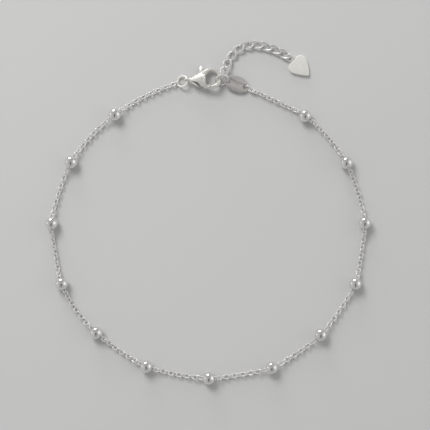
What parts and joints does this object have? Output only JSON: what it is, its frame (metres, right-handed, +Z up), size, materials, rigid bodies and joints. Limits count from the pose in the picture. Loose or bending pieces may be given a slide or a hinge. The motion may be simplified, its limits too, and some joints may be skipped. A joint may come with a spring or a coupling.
{
  "type": "beaded chain anklet",
  "caption": "Fine silver-coloured chain anklet with round beads, closed with a lobster clasp, an oval tag and a curb-link extender that ends in a small heart.",
  "frame": {"origin": "middle of the anklet's bounding box, on the surface that it lies on", "axes": "+Z up from that surface, +Y from the loop's middle towards the clasp and the heart, +X to the right of +Y seen from above, from the clasp towards the heart"},
  "size_m": [0.0772, 0.0818, 0.0031],
  "materials": {
    "silver": "bright polished silver",
    "clasp_silver": "polished white silver",
    "tag_silver": "mirror-polished silver with faint rolling lines",
    "satin_silver": "satin silver with polished edges"
  },
  "bodies": {
    "root": {"bead_01": "silver", "bead_02": "silver", "bead_03": "silver", "bead_04": "silver", "bead_05": "silver", "bead_06": "silver", "bead_07": "silver", "bead_08": "silver", "bead_09": "silver", "bead_10": "silver", "bead_11": "silver", "bead_12": "silver", "bead_13": "silver", "chain_01": "silver", "chain_02": "silver", "chain_03": "silver", "chain_04": "silver", "chain_05": "silver", "chain_06": "silver", "chain_07": "silver", "chain_08": "silver", "chain_09": "silver", "chain_10": "silver", "chain_11": "silver", "chain_12": "silver", "chain_13": "silver", "chain_14": "silver", "left_ring": "silver", "clasp_body": "clasp_silver", "clasp_pin": "clasp_silver", "catch_ring": "silver", "tag": "tag_silver", "tag_ring": "silver", "extender_link_01": "silver", "extender_link_02": "silver", "extender_link_03": "silver", "extender_link_04": "silver", "extender_link_05": "silver", "extender_link_06": "silver", "extender_link_07": "silver", "extender_link_08": "silver", "extender_link_09": "silver", "heart": "satin_silver"},
    "lever": {"clasp_lever": "clasp_silver"}
  },
  "joints": [
    {"name": "clasp_lever_hinge", "type": "hinge", "parent": "root", "child": "lever", "pos_m": [-0.00132, 0.03106, 0.00148], "axis": [0, 0.2756, 0.9613], "range_deg": [0, 30], "stiffness_Nm_per_rad": 0.002, "springref_deg": -17.19}
  ]
}
